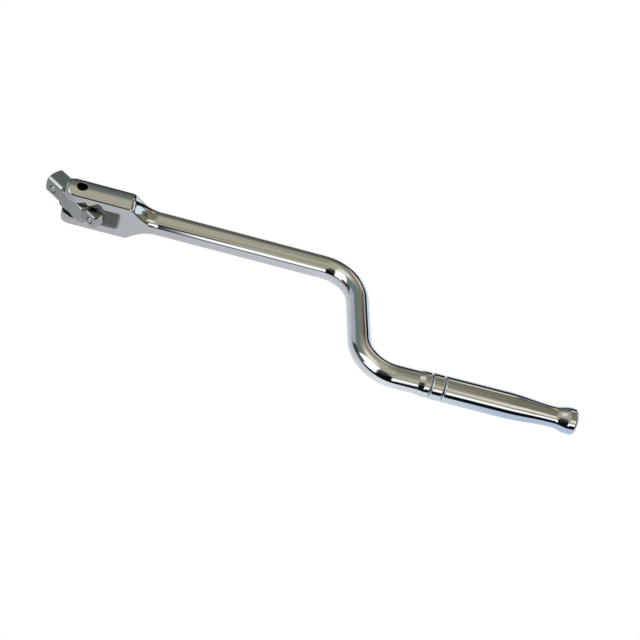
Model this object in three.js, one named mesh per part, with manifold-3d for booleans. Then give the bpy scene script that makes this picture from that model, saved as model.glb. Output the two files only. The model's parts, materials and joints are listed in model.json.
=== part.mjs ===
// Speed brace: a bent steel bar with a yoke head that carries a double-ended flip drive, and a grip that
// spins on the bar's turned end. Millimetres, +Z up along the pivot pin, +X from the head to the grip.
import * as THREE from "three";
import { mergeVertices } from "three/addons/utils/BufferGeometryUtils.js";
import Module from "manifold-3d";

const wasm = await Module();
wasm.setup();

// Bar and yoke head, measured along X from the pivot pin
const SHAFT_DIAMETER = 15.0;
const HEAD_DIAMETER = 30.0;
const HEAD_THICKNESS = 15.5;
const FORK_REACH = 10.0;
const FORK_EDGE_RADIUS = 3.0;
const BRIDGE_LENGTH = 6.2;
const NECK_LENGTH = 18.4;
const SLOT_CORNER_RADIUS = 2.0;

// Crank
const BEND_START = 160.5;
const BEND_RADIUS = 25.0;
const CRANK_OFFSET = 76.0;
const ARM_ANGLE = THREE.MathUtils.degToRad(83);
const TAIL_LENGTH = 14.1;

// Pivot
const PIN_DIAMETER = 6.9;
const PIN_RECESS = 3.0;
const PIN_CHAMFER = 0.5;
const FRICTION_WASHER_DIAMETER = 12.0;
const FRICTION_WASHER_THICKNESS = 0.4;
const FRICTION_WASHER_DISH = 0.3;

// Flip drive: standard 1/2 inch and 3/8 inch squares on one tang
const FLIP_ANGLE = THREE.MathUtils.degToRad(36.8);
const TANG_HALF_INCH_REACH = 9.7;
const TANG_THREE_EIGHTH_REACH = 10.1;
const TANG_SHOULDER_LENGTH = 1.6;
const TANG_END_TAPER = 3.5;
const TANG_END_DROP = 1.2;
const HALF_INCH = {
  square: 12.7,
  length: 13.9,
  cornerTrim: 1.1,
  endFaceRadius: 2.5,
  endDomeRadius: 20.0,
  ballDiameter: 4.76,
  ballProud: 0.9,
  ballFromEnd: 7.1,
  springWire: 0.5,
  springPitch: 1.05,
  springCurls: 5,
};
const THREE_EIGHTH = {
  square: 9.525,
  length: 10.0,
  cornerTrim: 0.58,
  endFaceRadius: 2.0,
  endDomeRadius: 9.5,
  ballDiameter: 3.97,
  ballProud: 0.75,
  ballFromEnd: 5.2,
  springWire: 0.45,
  springPitch: 0.95,
  springCurls: 4,
};

// Rings and grip
const COLLAR_DIAMETER = 16.5;
const COLLAR_LENGTH = 7.9;
const COLLAR_CONE_LENGTH = 2.5;
const SPACER_DIAMETER = 16.8;
const SPACER_LENGTH = 7.9;
const RING_CHAMFER = 0.8;
const GRIP_DIAMETER = 16.9;
const GRIP_STRAIGHT_LENGTH = 41.4;
const GRIP_TAPER_LENGTH = 31.5;
const GRIP_NECK_DIAMETER = 13.3;
const GRIP_FLARE_LENGTH = 9.6;
const GRIP_FLARE_DIAMETER = 16.8;
const GRIP_LIP_LENGTH = 4.5;
const GRIP_EDGE_RADIUS = 1.8;

// Spindle and bearings inside the grip
const FRONT_JOURNAL_DIAMETER = 9.5;
const REAR_JOURNAL_DIAMETER = 7.0;
const REAR_JOURNAL_LEAD = 14.6;
const RING_SEAT_STEP = 0.75;
const SPINDLE_NOSE_LENGTH = 2.3;
const SPINDLE_CHAMFER = 0.6;
const BUSH_WALL = 1.1;
const FRONT_BUSH_LENGTH = 16.0;
const REAR_BUSH_LENGTH = 14.0;
const THRUST_WASHER_THICKNESS = 0.8;
const FRONT_THRUST_WASHER_WALL = 1.8;
const REAR_THRUST_WASHER_WALL = 1.7;
const RETAINING_RING_THICKNESS = 0.9;
const RETAINING_RING_WALL = 2.0;
const RETAINING_RING_GAP = THREE.MathUtils.degToRad(70);
const RETAINING_GROOVE_DEPTH = 0.7;
const PLUG_THICKNESS = 3.4;
const PLUG_SETBACK = 0.8;
const PLUG_CROWN = 0.5;
const PLUG_GAP = 2.2;

// Fits
const PRESS_GAP = 0.04;
const RUNNING_CLEARANCE = 0.06;
const BALL_CLEARANCE = 0.08;
const SPRING_CLEARANCE = 0.37;
const SLOT_CLEARANCE = 0.3;
const SWING_CLEARANCE = 1.9;
const TANG_INSET = 0.35;
const SEAT_GAP = 0.3;

// Facets, and how far a cutter runs past what it cuts
const HEAD_SIDES = 48;
const ROUND_SIDES = 32;
const SMALL_SIDES = 24;
const BEND_STEPS = 12;
const ARC_STEPS = 8;
const CORNER_STEPS = 4;
const END_STEPS = 3;
const CURL_STEPS = 8;
const WIRE_SIDES = 5;
const MERGE_DISTANCE = 1e-4;
const CUT_OVERRUN = 1.0;

const shaftRadius = SHAFT_DIAMETER / 2;
const headRadius = HEAD_DIAMETER / 2;
const pinRadius = PIN_DIAMETER / 2;

// The tang is as thick as the larger square, and the slot lets the longer end of the drive swing through.
const tangThickness = HALF_INCH.square;
const tangWidth = HEAD_THICKNESS - 2 * TANG_INSET;
const halfInchRoot = TANG_HALF_INCH_REACH + TANG_SHOULDER_LENGTH;
const halfInchReach = halfInchRoot + HALF_INCH.length;
const threeEighthReach = TANG_THREE_EIGHTH_REACH + THREE_EIGHTH.length;
const slotHeight = tangThickness + 2 * SLOT_CLEARANCE;
const slotReach = Math.max(halfInchReach, threeEighthReach) + SWING_CLEARANCE;
const headReach = slotReach + BRIDGE_LENGTH;
const neckEnd = headReach + NECK_LENGTH;

// Stations along X from the first bend to the end of the grip.
const bendDrop = BEND_RADIUS * (1 - Math.cos(ARM_ANGLE));
const bendRun = BEND_RADIUS * Math.sin(ARM_ANGLE);
const armLength = (CRANK_OFFSET - 2 * bendDrop) / Math.sin(ARM_ANGLE);
const bendEnd = BEND_START + 2 * bendRun + armLength * Math.cos(ARM_ANGLE);
const collarStart = bendEnd + TAIL_LENGTH;
const spacerStart = collarStart + COLLAR_LENGTH + SEAT_GAP;
const spacerEnd = spacerStart + SPACER_LENGTH;
const gripStart = spacerEnd + SEAT_GAP;
const frontWasherFloor = gripStart + THRUST_WASHER_THICKNESS + SEAT_GAP;
const taperStart = gripStart + GRIP_STRAIGHT_LENGTH;
const gripNeck = taperStart + GRIP_TAPER_LENGTH;
const gripFlare = gripNeck + GRIP_FLARE_LENGTH;
const gripEnd = gripFlare + GRIP_LIP_LENGTH;

// The mouth of the grip holds the washer, the retaining ring, the spindle's nose and the plug.
const plugEnd = gripEnd - PLUG_SETBACK;
const plugStart = plugEnd - PLUG_THICKNESS;
const spindleEnd = plugStart - PLUG_GAP;
const retainingRingStart = spindleEnd - SPINDLE_NOSE_LENGTH - RETAINING_RING_THICKNESS;
const rearWasherStart = retainingRingStart - SEAT_GAP - THRUST_WASHER_THICKNESS;
const mouthFloor = rearWasherStart - SEAT_GAP;
const rearBushStart = mouthFloor - REAR_BUSH_LENGTH;
const rearJournalStart = rearBushStart - REAR_JOURNAL_LEAD;

// Radii of what turns and what it turns on.
const frontJournal = FRONT_JOURNAL_DIAMETER / 2;
const rearJournal = REAR_JOURNAL_DIAMETER / 2;
const ringSeat = frontJournal + RING_SEAT_STEP;
const retainingGroove = rearJournal - RETAINING_GROOVE_DEPTH;
const frontBushBore = frontJournal + RUNNING_CLEARANCE;
const rearBushBore = rearJournal + RUNNING_CLEARANCE;
const frontBushRadius = frontBushBore + BUSH_WALL;
const rearBushRadius = rearBushBore + BUSH_WALL;
const frontWasherRadius = frontBushBore + FRONT_THRUST_WASHER_WALL;
const rearWasherRadius = rearBushBore + REAR_THRUST_WASHER_WALL;
const mouthRadius = rearWasherRadius + SEAT_GAP;

// A closed geometry as a solid for cutting and joining.
function solidOf(geometry) {
  const bare = geometry.clone();
  bare.deleteAttribute("normal");
  bare.deleteAttribute("uv");
  const merged = mergeVertices(bare, MERGE_DISTANCE);
  const kept = [];
  for (let i = 0; i < merged.index.count; i += 3) {
    const corners = [0, 1, 2].map((j) => merged.index.getX(i + j));
    if (new Set(corners).size === 3) kept.push(...corners);
  }
  return new wasm.Manifold(
    new wasm.Mesh({
      numProp: 3,
      vertProperties: merged.attributes.position.array,
      triVerts: new Uint32Array(kept),
    }),
  );
}

// A solid back as a geometry that a mesh can hold.
function geometryOf(solid) {
  const made = solid.getMesh();
  const geometry = new THREE.BufferGeometry();
  geometry.setAttribute("position", new THREE.BufferAttribute(made.vertProperties, 3));
  geometry.setIndex(new THREE.BufferAttribute(made.triVerts, 1));
  geometry.computeVertexNormals();
  return geometry;
}

// Profile points [along, radius] turned about X. The profile runs along +X on the outside.
function turnedX(profile, sides) {
  const points = profile.map(([along, radius]) => new THREE.Vector2(radius, along));
  return new THREE.LatheGeometry(points, sides).rotateZ(-Math.PI / 2);
}

// The same profile turned about Z.
function turnedZ(profile, sides) {
  const points = profile.map(([along, radius]) => new THREE.Vector2(radius, along));
  return new THREE.LatheGeometry(points, sides).rotateX(Math.PI / 2);
}

// Points [along, radius] of a round stretch in a profile, from one angle to another in degrees.
function arc(along, radius, size, from, to) {
  const points = [];
  for (let i = 0; i <= ARC_STEPS; i++) {
    const angle = THREE.MathUtils.degToRad(from + ((to - from) * i) / ARC_STEPS);
    points.push([along + size * Math.cos(angle), radius + size * Math.sin(angle)]);
  }
  return points;
}

// Points of a rounded end: a quarter of an ellipse from one radius to a smaller one on the end face.
function roundedEnd(end, rounding, radius, endRadius) {
  const points = [];
  for (let i = 0; i < END_STEPS; i++) {
    const angle = (Math.PI / 2) * (i / END_STEPS);
    const along = end - rounding * (1 - Math.sin(angle));
    points.push([along, endRadius + (radius - endRadius) * Math.cos(angle)]);
  }
  return [...points, [end, endRadius]];
}

// Points of a domed end: part of a sphere from one radius to a smaller one on the end face.
function domedEnd(end, domeRadius, radius, endRadius) {
  const height = (size) => Math.sqrt(domeRadius ** 2 - size ** 2);
  const points = [];
  for (let i = 0; i <= END_STEPS; i++) {
    const size = radius + ((endRadius - radius) * i) / END_STEPS;
    points.push([end - height(endRadius) + height(size), size]);
  }
  return points;
}

// Points of a smooth rise or fall between two radii, level at both ends.
function easedStretch(start, startRadius, end, endRadius) {
  const points = [];
  for (let i = 0; i <= ARC_STEPS; i++) {
    const share = i / ARC_STEPS;
    const eased = (1 - Math.cos(Math.PI * share)) / 2;
    points.push([start + (end - start) * share, startRadius + (endRadius - startRadius) * eased]);
  }
  return points;
}

// A plain ring about X with a chamfered back edge, and a front edge that rises over a length from a radius.
function ringX(start, length, innerRadius, outerRadius, frontLength, frontRadius) {
  const profile = [
    [start, innerRadius],
    [start, frontRadius],
    [start + frontLength, outerRadius],
    [start + length - RING_CHAMFER, outerRadius],
    [start + length, outerRadius - RING_CHAMFER],
    [start + length, innerRadius],
    [start, innerRadius],
  ];
  return turnedX(profile, ROUND_SIDES);
}

// The collar rises in a cone from the bar.
function frontCollar() {
  const inner = ringSeat + PRESS_GAP;
  return ringX(collarStart, COLLAR_LENGTH, inner, COLLAR_DIAMETER / 2, COLLAR_CONE_LENGTH, shaftRadius);
}

function spacerRing() {
  const inner = ringSeat + PRESS_GAP;
  const outer = SPACER_DIAMETER / 2;
  return ringX(spacerStart, SPACER_LENGTH, inner, outer, RING_CHAMFER, outer - RING_CHAMFER);
}

// A plain ring about X with square edges.
function washerX(start, length, innerRadius, outerRadius) {
  const profile = [
    [start, innerRadius],
    [start, outerRadius],
    [start + length, outerRadius],
    [start + length, innerRadius],
    [start, innerRadius],
  ];
  return turnedX(profile, ROUND_SIDES);
}

function box(lowX, highX, width, height) {
  return new THREE.BoxGeometry(highX - lowX, width, height).translate((lowX + highX) / 2, 0, 0);
}

function roundBarZ(radius, length) {
  return new THREE.CylinderGeometry(radius, radius, length, SMALL_SIDES).rotateX(Math.PI / 2);
}

// Centre line of the bent bar: straight, bend towards -Y, arm, bend back, straight.
class CrankPath extends THREE.Curve {
  constructor(start, end) {
    super();
    const turns = Array.from({ length: BEND_STEPS + 1 }, (_, i) => (ARM_ANGLE * i) / BEND_STEPS);
    const run = (turn) => BEND_RADIUS * Math.sin(turn);
    const drop = (turn) => BEND_RADIUS * (1 - Math.cos(turn));
    this.stations = [
      [start, 0, 0],
      ...turns.map((turn) => [BEND_START + run(turn), -drop(turn), turn]),
      ...turns.toReversed().map((turn) => [bendEnd - run(turn), drop(turn) - CRANK_OFFSET, turn]),
      [end, -CRANK_OFFSET, 0],
    ];
  }

  get steps() {
    return this.stations.length - 1;
  }

  station(share) {
    return this.stations[Math.round(share * this.steps)];
  }

  getPointAt(share, target = new THREE.Vector3()) {
    const [x, y] = this.station(share);
    return target.set(x, y, 0);
  }

  getTangentAt(share, target = new THREE.Vector3()) {
    const turn = this.station(share)[2];
    return target.set(Math.cos(turn), -Math.sin(turn), 0);
  }
}

// Centre line of a coil spring about Y, winding from one end to the other.
class SpringPath extends THREE.Curve {
  constructor(radius, pitch, curls, start) {
    super();
    Object.assign(this, { radius, pitch, curls, start });
  }

  getPoint(share, target = new THREE.Vector3()) {
    const turn = 2 * Math.PI * this.curls * share;
    const along = this.start + this.pitch * this.curls * share;
    return target.set(this.radius * Math.cos(turn), along, this.radius * Math.sin(turn));
  }
}

function circle(radius, sides) {
  const points = Array.from({ length: sides }, (_, i) => {
    const angle = (2 * Math.PI * i) / sides;
    return new THREE.Vector2(radius * Math.cos(angle), radius * Math.sin(angle));
  });
  return new THREE.Shape(points);
}

// Yoke head: a turned barrel with a filleted neck, cut to two flats and a fork that is half-round in plan.
function yokeHead() {
  const neckTurn = 2 * Math.atan2(headRadius - shaftRadius, NECK_LENGTH);
  const neckRadius = NECK_LENGTH / Math.sin(neckTurn);
  const neckDegrees = THREE.MathUtils.radToDeg(neckTurn);
  const barrel = turnedX(
    [
      [-FORK_REACH, 0],
      ...arc(FORK_EDGE_RADIUS - FORK_REACH, headRadius - FORK_EDGE_RADIUS, FORK_EDGE_RADIUS, 180, 90),
      ...arc(neckEnd, shaftRadius + neckRadius, neckRadius, 270 - neckDegrees, 270),
      [neckEnd + CUT_OVERRUN, shaftRadius - CUT_OVERRUN],
      [neckEnd + CUT_OVERRUN, 0],
    ],
    HEAD_SIDES,
  );
  const half = HEAD_THICKNESS / 2;
  const plan = new THREE.Shape();
  plan.moveTo(neckEnd + 2 * CUT_OVERRUN, -half);
  plan.lineTo(neckEnd + 2 * CUT_OVERRUN, half);
  plan.absarc(half - FORK_REACH, 0, half, Math.PI / 2, (3 * Math.PI) / 2, false);
  const flats = new THREE.ExtrudeGeometry(plan, {
    depth: HEAD_DIAMETER + 2 * CUT_OVERRUN,
    bevelEnabled: false,
    curveSegments: ROUND_SIDES / 2,
  }).translate(0, 0, -headRadius - CUT_OVERRUN);
  return solidOf(barrel).intersect(solidOf(flats));
}

// The slot that the drive turns in: open at the fork, rounded in the corners at its closed end.
function yokeSlot() {
  const half = slotHeight / 2;
  const corner = SLOT_CORNER_RADIUS;
  const open = -FORK_REACH - CUT_OVERRUN;
  const outline = new THREE.Shape();
  outline.moveTo(open, -half);
  outline.lineTo(slotReach - corner, -half);
  outline.absarc(slotReach - corner, corner - half, corner, -Math.PI / 2, 0, false);
  outline.absarc(slotReach - corner, half - corner, corner, 0, Math.PI / 2, false);
  outline.lineTo(open, half);
  return new THREE.ExtrudeGeometry(outline, {
    depth: HEAD_THICKNESS + 2 * CUT_OVERRUN,
    bevelEnabled: false,
    curveSegments: CORNER_STEPS,
  })
    .rotateX(Math.PI / 2)
    .translate(0, HEAD_THICKNESS / 2 + CUT_OVERRUN, 0);
}

// The bar's turned end: ring seat, two journals and the groove of the retaining ring.
function spindle() {
  const grooveStart = retainingRingStart - PRESS_GAP;
  const grooveEnd = retainingRingStart + RETAINING_RING_THICKNESS + PRESS_GAP;
  const profile = [
    [bendEnd, 0],
    [bendEnd, ringSeat],
    [spacerEnd, ringSeat],
    [spacerEnd, frontJournal],
    [rearJournalStart, frontJournal],
    [rearJournalStart, rearJournal],
    [grooveStart, rearJournal],
    [grooveStart, retainingGroove],
    [grooveEnd, retainingGroove],
    [grooveEnd, rearJournal],
    [spindleEnd - SPINDLE_CHAMFER, rearJournal],
    [spindleEnd, rearJournal - SPINDLE_CHAMFER],
    [spindleEnd, 0],
  ];
  return turnedX(profile, ROUND_SIDES).translate(0, -CRANK_OFFSET, 0);
}

function braceBar() {
  const path = new CrankPath(headReach + NECK_LENGTH / 2, collarStart - PRESS_GAP);
  const bar = new THREE.ExtrudeGeometry(circle(shaftRadius, HEAD_SIDES), {
    steps: path.steps,
    extrudePath: path,
  });
  const pinHole = roundBarZ(pinRadius + PRESS_GAP, HEAD_DIAMETER + 2 * CUT_OVERRUN);
  return geometryOf(
    yokeHead()
      .subtract(solidOf(yokeSlot()))
      .subtract(solidOf(pinHole))
      .add(solidOf(bar))
      .add(solidOf(spindle())),
  );
}

function pivotPin() {
  const reach = headRadius - PIN_RECESS;
  const profile = [
    [-reach, 0],
    [-reach, pinRadius - PIN_CHAMFER],
    [-reach + PIN_CHAMFER, pinRadius],
    [reach - PIN_CHAMFER, pinRadius],
    [reach, pinRadius - PIN_CHAMFER],
    [reach, 0],
  ];
  return turnedZ(profile, SMALL_SIDES);
}

const washerHeight = FRICTION_WASHER_THICKNESS + FRICTION_WASHER_DISH;
const washerRecess = washerHeight + 2 * PRESS_GAP - SLOT_CLEARANCE;

// A dished washer that lies in its recess in the tang and bears on the wall of the slot.
function frictionWasher() {
  const bottom = slotHeight / 2 - PRESS_GAP - washerHeight;
  const inner = pinRadius + RUNNING_CLEARANCE;
  const outer = FRICTION_WASHER_DIAMETER / 2;
  const profile = [
    [bottom + FRICTION_WASHER_DISH, inner],
    [bottom, outer],
    [bottom + FRICTION_WASHER_THICKNESS, outer],
    [bottom + washerHeight, inner],
    [bottom + FRICTION_WASHER_DISH, inner],
  ];
  return turnedZ(profile, SMALL_SIDES);
}

// One half of the turned outline of a drive square, from its root to its end face.
function squareOutline(drive, root) {
  const corner = drive.square / Math.SQRT2 - drive.cornerTrim;
  const end = root + drive.length;
  return [
    [root, corner],
    ...domedEnd(end, drive.endDomeRadius, corner, drive.endFaceRadius),
    [end, 0],
  ];
}

const mirrored = (points) => points.map(([along, radius]) => [-along, radius]).toReversed();
const ballCentre = (drive) => drive.square / 2 + drive.ballProud - drive.ballDiameter / 2;
const halfInchBallPlace = HALF_INCH.ballFromEnd - halfInchReach;
const threeEighthBallPlace = threeEighthReach - THREE_EIGHTH.ballFromEnd;

// Centre line of a detent spring, from behind its ball to the floor of the ball's hole.
function springPath(drive) {
  const ballRadius = drive.ballDiameter / 2;
  const coilRadius = ballRadius - SPRING_CLEARANCE - drive.springWire / 2;
  const behindBall = Math.sqrt(ballRadius ** 2 - coilRadius ** 2) - ballCentre(drive);
  const start = behindBall + drive.springWire / 2 + SEAT_GAP;
  return new SpringPath(coilRadius, drive.springPitch, drive.springCurls, start);
}

// The hole behind a detent ball: its lip closes over the ball, and it ends behind the spring.
function ballHole(drive) {
  const path = springPath(drive);
  const floor = path.start + path.pitch * path.curls + drive.springWire / 2 + SEAT_GAP;
  const radius = drive.ballDiameter / 2 + BALL_CLEARANCE;
  const profile = [...arc(-ballCentre(drive), 0, radius, 180, 90), [floor, radius], [floor, 0]];
  return turnedX(profile, SMALL_SIDES).rotateZ(Math.PI / 2);
}

function detentBall(drive) {
  const radius = drive.ballDiameter / 2;
  return new THREE.SphereGeometry(radius, SMALL_SIDES, SMALL_SIDES / 2).translate(0, -ballCentre(drive), 0);
}

function detentSpring(name, drive) {
  const path = springPath(drive);
  const points = path.getPoints(CURL_STEPS * path.curls);
  let least = Infinity;
  points.forEach((a, i) =>
    points.slice(i + CURL_STEPS / 2).forEach((b) => {
      least = Math.min(least, a.distanceTo(b));
    }),
  );
  console.log(name + ": least gap between curls " + (least - drive.springWire).toFixed(2) + " mm");
  return new THREE.ExtrudeGeometry(circle(drive.springWire / 2, WIRE_SIDES), {
    steps: CURL_STEPS * path.curls,
    extrudePath: path,
  });
}

// The drive lies along X in its own frame, with the 1/2 inch square towards -X.
function driveHead() {
  const half = tangWidth / 2;
  const tangCorner = Math.hypot(half, tangThickness / 2);
  const blank = turnedX(
    [
      ...mirrored(squareOutline(HALF_INCH, halfInchRoot)),
      [-TANG_HALF_INCH_REACH, tangCorner],
      [TANG_THREE_EIGHTH_REACH - TANG_END_TAPER, tangCorner],
      [TANG_THREE_EIGHTH_REACH, tangCorner - TANG_END_DROP],
      ...squareOutline(THREE_EIGHTH, TANG_THREE_EIGHTH_REACH),
    ],
    HEAD_SIDES,
  );
  const plan = new THREE.Shape();
  plan.moveTo(-halfInchRoot, -HALF_INCH.square / 2);
  plan.lineTo(-TANG_HALF_INCH_REACH, -half);
  plan.lineTo(TANG_THREE_EIGHTH_REACH, -half);
  plan.lineTo(TANG_THREE_EIGHTH_REACH, half);
  plan.lineTo(-TANG_HALF_INCH_REACH, half);
  plan.lineTo(-halfInchRoot, HALF_INCH.square / 2);
  const tang = new THREE.ExtrudeGeometry(plan, { depth: tangThickness, bevelEnabled: false });
  tang.translate(0, 0, -tangThickness / 2);
  const halfInch = box(-halfInchReach - CUT_OVERRUN, 0, HALF_INCH.square, HALF_INCH.square);
  const threeEighth = box(0, threeEighthReach + CUT_OVERRUN, THREE_EIGHTH.square, THREE_EIGHTH.square);
  const recess = (side) =>
    roundBarZ(FRICTION_WASHER_DIAMETER / 2 + RUNNING_CLEARANCE, 2 * washerRecess)
      .translate(0, 0, (side * tangThickness) / 2);
  const cuts = [
    roundBarZ(pinRadius + RUNNING_CLEARANCE, slotHeight),
    recess(1),
    recess(-1),
    ballHole(HALF_INCH).translate(halfInchBallPlace, 0, 0),
    ballHole(THREE_EIGHTH).translate(threeEighthBallPlace, 0, 0),
  ];
  const body = solidOf(tang).add(solidOf(halfInch)).add(solidOf(threeEighth)).intersect(solidOf(blank));
  return geometryOf(cuts.reduce((left, cut) => left.subtract(solidOf(cut)), body));
}

// Grip: straight, drawn in to the neck, flared at the end, bored for the bushes and open at the mouth.
function gripSleeve() {
  const outer = GRIP_DIAMETER / 2;
  const neck = GRIP_NECK_DIAMETER / 2;
  const flare = GRIP_FLARE_DIAMETER / 2;
  const washerBore = frontWasherRadius + SEAT_GAP;
  const frontBore = frontBushRadius + PRESS_GAP;
  const rearBore = rearBushRadius + PRESS_GAP;
  const boreStep = rearJournalStart + SEAT_GAP;
  const profile = [
    [frontWasherFloor, frontBore],
    [frontWasherFloor, washerBore],
    [gripStart, washerBore],
    [gripStart, outer - RING_CHAMFER],
    [gripStart + RING_CHAMFER, outer],
    ...easedStretch(taperStart, outer, gripNeck, neck),
    ...easedStretch(gripNeck, neck, gripFlare, flare).slice(1),
    ...arc(gripEnd - GRIP_EDGE_RADIUS, flare - GRIP_EDGE_RADIUS, GRIP_EDGE_RADIUS, 90, 0),
    [gripEnd, mouthRadius],
    [mouthFloor, mouthRadius],
    [mouthFloor, rearBore],
    [boreStep, rearBore],
    [boreStep, frontBore],
    [frontWasherFloor, frontBore],
  ];
  return turnedX(profile, ROUND_SIDES);
}

// An open spring ring: a flat ring with a gap cut out of it.
function retainingRing() {
  const inner = retainingGroove + PRESS_GAP;
  const reach = inner + RETAINING_RING_WALL + CUT_OVERRUN;
  const ring = washerX(retainingRingStart, RETAINING_RING_THICKNESS, inner, inner + RETAINING_RING_WALL);
  const wedge = new THREE.Shape();
  wedge.moveTo(0, 0);
  wedge.lineTo(reach, -reach * Math.tan(RETAINING_RING_GAP / 2));
  wedge.lineTo(reach, reach * Math.tan(RETAINING_RING_GAP / 2));
  const depth = RETAINING_RING_THICKNESS + 2 * CUT_OVERRUN;
  const gap = new THREE.ExtrudeGeometry(wedge, { depth, bevelEnabled: false })
    .rotateY(-Math.PI / 2)
    .translate(retainingRingStart + RETAINING_RING_THICKNESS + CUT_OVERRUN, 0, 0);
  return geometryOf(solidOf(ring).subtract(solidOf(gap)));
}

function endPlug() {
  const radius = mouthRadius - PRESS_GAP;
  const profile = [
    [plugStart, 0],
    [plugStart, radius],
    ...roundedEnd(plugEnd, PLUG_CROWN, radius, 0),
  ];
  return turnedX(profile, ROUND_SIDES);
}

const chrome = new THREE.MeshStandardMaterial({ color: 0xd6d8da, roughness: 0.08, metalness: 1 });
const bearingSteel = new THREE.MeshStandardMaterial({ color: 0xc9cbcd, roughness: 0.12, metalness: 1 });
const springSteel = new THREE.MeshStandardMaterial({ color: 0x8d9094, roughness: 0.35, metalness: 1 });
const blackSteel = new THREE.MeshStandardMaterial({ color: 0x2b2a2b, roughness: 0.45, metalness: 1 });
const bronze = new THREE.MeshStandardMaterial({ color: 0xa97b45, roughness: 0.4, metalness: 1 });

function piece(name, geometry, material) {
  const mesh = new THREE.Mesh(geometry, material);
  mesh.name = name;
  return mesh;
}

const lowerWasher = piece("lower_friction_washer", frictionWasher(), springSteel);
lowerWasher.rotation.x = Math.PI;

const drive = new THREE.Group();
drive.rotation.z = -FLIP_ANGLE;
drive.add(piece("drive_head", driveHead(), chrome));
for (const [name, size, place] of [
  ["half_inch", HALF_INCH, halfInchBallPlace],
  ["three_eighth", THREE_EIGHTH, threeEighthBallPlace],
]) {
  const ball = piece(name + "_ball", detentBall(size), bearingSteel);
  const spring = piece(name + "_spring", detentSpring(name + "_spring", size), springSteel);
  ball.position.x = place;
  spring.position.x = place;
  drive.add(ball, spring);
}

const grip = new THREE.Group();
grip.position.y = -CRANK_OFFSET;
grip.add(
  piece("front_collar", frontCollar(), chrome),
  piece("spacer_ring", spacerRing(), chrome),
  piece(
    "front_thrust_washer",
    washerX(gripStart, THRUST_WASHER_THICKNESS, frontBushBore, frontWasherRadius),
    bronze,
  ),
  piece("grip_sleeve", gripSleeve(), chrome),
  piece("front_bush", washerX(frontWasherFloor, FRONT_BUSH_LENGTH, frontBushBore, frontBushRadius), bronze),
  piece("rear_bush", washerX(rearBushStart, REAR_BUSH_LENGTH, rearBushBore, rearBushRadius), bronze),
  piece(
    "rear_thrust_washer",
    washerX(rearWasherStart, THRUST_WASHER_THICKNESS, rearBushBore, rearWasherRadius),
    bronze,
  ),
  piece("retaining_ring", retainingRing(), springSteel),
  piece("end_plug", endPlug(), chrome),
);

const brace = new THREE.Group();
brace.add(
  piece("brace_bar", braceBar(), chrome),
  piece("pivot_pin", pivotPin(), blackSteel),
  piece("upper_friction_washer", frictionWasher(), springSteel),
  lowerWasher,
  drive,
  grip,
);

// The origin is the middle of the brace's footprint as it lies with the crank level.
brace.updateMatrixWorld(true);
const bounds = new THREE.Box3().setFromObject(brace, true);
const middle = bounds.getCenter(new THREE.Vector3());
brace.position.set(-middle.x, -middle.y, -bounds.min.z);

const part = new THREE.Group();
part.add(brace);

export default part;
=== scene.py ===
"""Chromed speed brace: the finished surfaces of the bar, the flip drive and the grip, and a pale studio."""
import itertools
import json
import math

import bpy
import numpy as np
from bpy.props import FloatProperty, FloatVectorProperty, PointerProperty
from mathutils import Matrix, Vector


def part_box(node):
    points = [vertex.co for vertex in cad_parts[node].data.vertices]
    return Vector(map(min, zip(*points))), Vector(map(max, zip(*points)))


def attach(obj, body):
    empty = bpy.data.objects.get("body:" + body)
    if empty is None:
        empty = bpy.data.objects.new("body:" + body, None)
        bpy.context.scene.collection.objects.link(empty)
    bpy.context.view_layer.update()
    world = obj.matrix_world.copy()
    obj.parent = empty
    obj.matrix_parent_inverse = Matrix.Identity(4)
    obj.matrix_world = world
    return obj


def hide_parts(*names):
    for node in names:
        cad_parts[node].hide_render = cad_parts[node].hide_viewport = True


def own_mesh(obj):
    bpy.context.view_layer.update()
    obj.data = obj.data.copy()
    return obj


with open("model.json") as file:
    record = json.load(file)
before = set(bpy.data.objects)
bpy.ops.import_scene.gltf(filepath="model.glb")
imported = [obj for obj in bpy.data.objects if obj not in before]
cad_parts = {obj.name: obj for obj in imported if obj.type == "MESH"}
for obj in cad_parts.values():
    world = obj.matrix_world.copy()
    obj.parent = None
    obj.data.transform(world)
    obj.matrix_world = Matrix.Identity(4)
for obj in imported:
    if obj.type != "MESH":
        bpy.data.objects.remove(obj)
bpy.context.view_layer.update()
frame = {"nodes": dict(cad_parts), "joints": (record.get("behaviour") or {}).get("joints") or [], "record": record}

bl_info = {
    "name": "Speed brace",
    "version": (1, 0, 0),
    "blender": (4, 5, 0),
    "location": "3D View > Sidebar > Brace",
    "description": "Builds the finished surfaces of a chromed speed brace and its studio",
    "category": "Object",
}

MM = 0.001

# How finely the surfaces are divided, and the short step that their slopes are taken over.
ROUND_SIDES = 192
BALL_SIDES = 64
CORNER_STEPS = 6
CURVE_STEPS = 48
SKIN_STEP = 0.3 * MM
SKIN_MARGIN = 3 * SKIN_STEP
SETTLE_ROUNDS = 6
PROBE = 0.002 * MM

# Gaps of close and of loose fits.
CLOSE_FIT = 0.04 * MM
LOOSE_FIT = 0.3 * MM

# What the frame already says: the pivot, the grip's axis, the set of the drive and the boxes of the nodes.
joints = {joint["name"]: joint for joint in frame["joints"]}
mounts = {mount["name"]: mount for mount in frame["record"]["mounts"]}
PIVOT = np.array(joints["drive_flip"]["pos_m"])
GRIP_AXIS = np.array(joints["grip_spin"]["pos_m"])
DRIVE_AXIS = np.array(mounts["three_eighth_drive"]["axis"])
HALF_INCH_END = np.array(mounts["half_inch_drive"]["pos_m"])
THREE_EIGHTH_END = np.array(mounts["three_eighth_drive"]["pos_m"])
BOXES = {name: np.array(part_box(name)) for name in frame["nodes"]}

# The rings and the grip count X from the pivot and turn about the grip's axis.
GRIP_CENTRE = np.array([PIVOT[0], GRIP_AXIS[1], GRIP_AXIS[2]])


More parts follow.
